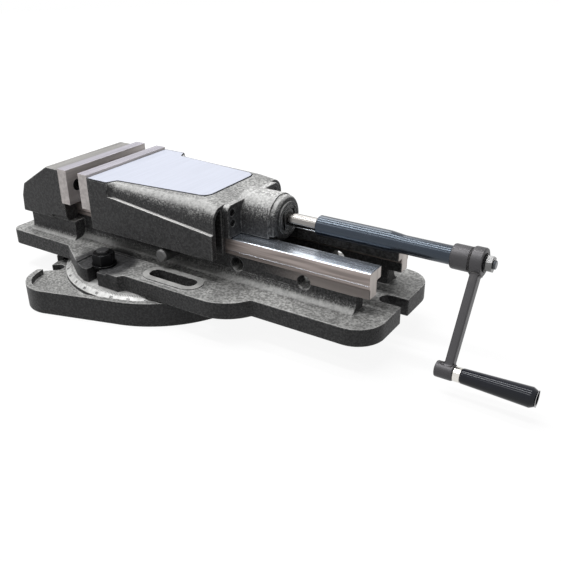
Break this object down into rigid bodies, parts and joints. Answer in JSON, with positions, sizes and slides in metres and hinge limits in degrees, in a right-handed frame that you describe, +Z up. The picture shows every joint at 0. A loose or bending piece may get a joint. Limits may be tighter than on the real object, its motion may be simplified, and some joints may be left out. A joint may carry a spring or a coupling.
{
  "type": "hydraulic machine vise",
  "caption": "Machine vise on a swivel base with fixed and moving jaws on a railed bed, closed by a booster spindle with a crank.",
  "frame": {"origin": "swivel axis at the foot of the swivel base", "axes": "+X from the fixed jaw to the crank along the bed, +Z up, symmetrical jaws about Y = 0"},
  "size_m": [0.7863, 0.3638, 0.167],
  "materials": {
    "casting": "sand-cast iron in dark graphite paint",
    "ground_steel": "surface-ground hardened steel",
    "bright_rod": "bright polished rod",
    "blued_steel": "dark blued, satin",
    "black_steel": "black oxide",
    "crank_steel": "blue-grey forged steel",
    "bronze": "turned bronze",
    "nickel": "nickel plated",
    "seal_rubber": "matt",
    "grip_plastic": "gloss black"
  },
  "bodies": {
    "base": {"swivel_base": "casting"},
    "bed": {"vise_bed": "casting", "swivel_pivot": "ground_steel", "swivel_bolts": "black_steel", "swivel_washers": "black_steel", "fixed_jaw": "casting", "fixed_jaw_bolts": "black_steel", "fixed_jaw_plate": "ground_steel", "fixed_plate_screws": "black_steel", "nut_block": "casting", "spindle_nut": "bronze", "nut_screws": "black_steel"},
    "near_nut": {"swivel_nut_near": "black_steel"},
    "far_nut": {"swivel_nut_far": "black_steel"},
    "cross_pin": {"locating_pin": "ground_steel"},
    "moving_jaw": {"moving_jaw": "casting", "moving_jaw_plate": "ground_steel", "moving_plate_screws": "black_steel", "hold_down_plates": "ground_steel", "hold_down_screws": "black_steel", "spindle_housing": "casting", "housing_screws": "black_steel", "gland_ring": "casting", "thrust_pad": "ground_steel"},
    "spindle": {"booster_spindle": "ground_steel", "spindle_end_cap": "ground_steel"},
    "piston": {"main_piston": "ground_steel", "piston_seal": "seal_rubber"},
    "plunger": {"plunger": "ground_steel", "plunger_seal": "seal_rubber"},
    "drive": {"drive_rod": "bright_rod", "clutch_sleeve": "blued_steel", "crank_arm": "crank_steel", "crank_washer": "ground_steel", "crank_nut": "black_steel", "grip_pin": "ground_steel"},
    "grip": {"grip_ferrule": "nickel", "grip": "grip_plastic"}
  },
  "joints": [
    {"name": "swivel", "type": "hinge", "parent": "base", "child": "bed", "pos_m": [0, 0, 0.0355], "axis": [0, 0, 1], "continuous": true},
    {"name": "near_nut_turn", "type": "hinge", "parent": "bed", "child": "near_nut", "pos_m": [-0.01766, -0.10553, 0.059], "axis": [0, 0, 1], "range_deg": [0, 360]},
    {"name": "far_nut_turn", "type": "hinge", "parent": "bed", "child": "far_nut", "pos_m": [-0.01766, 0.10553, 0.059], "axis": [0, 0, 1], "range_deg": [0, 360]},
    {"name": "pin_pull", "type": "slide", "parent": "bed", "child": "cross_pin", "axis": [0, -1, 0], "range_m": [0, 0.11]},
    {"name": "jaw_feed", "type": "slide", "parent": "bed", "child": "moving_jaw", "axis": [1, 0, 0], "range_m": [-0.0237, 0.086]},
    {"name": "spindle_turn", "type": "hinge", "parent": "moving_jaw", "child": "spindle", "pos_m": [0, 0, 0.134], "axis": [1, 0, 0], "range_deg": [-1440, 5220]},
    {"name": "pressure_turn", "type": "hinge", "parent": "spindle", "child": "drive", "pos_m": [0.3, 0, 0.134], "axis": [1, 0, 0], "range_deg": [-360, 0]},
    {"name": "plunger_stroke", "type": "slide", "parent": "spindle", "child": "plunger", "axis": [1, 0, 0], "range_m": [-0.0071, 0]},
    {"name": "piston_stroke", "type": "slide", "parent": "spindle", "child": "piston", "axis": [1, 0, 0], "range_m": [-0.0013, 0]},
    {"name": "grip_turn", "type": "hinge", "parent": "drive", "child": "grip", "pos_m": [0.45, -0.06624, 0.02799], "axis": [1, 0, 0], "continuous": true}
  ],
  "couplings": [
    {"joint": "spindle_turn", "follows": "jaw_feed", "rad_per_m": 1047.2},
    {"joint": "plunger_stroke", "follows": "pressure_turn", "m_per_rad": 0.0011141},
    {"joint": "piston_stroke", "follows": "pressure_turn", "m_per_rad": 0.00018645}
  ]
}
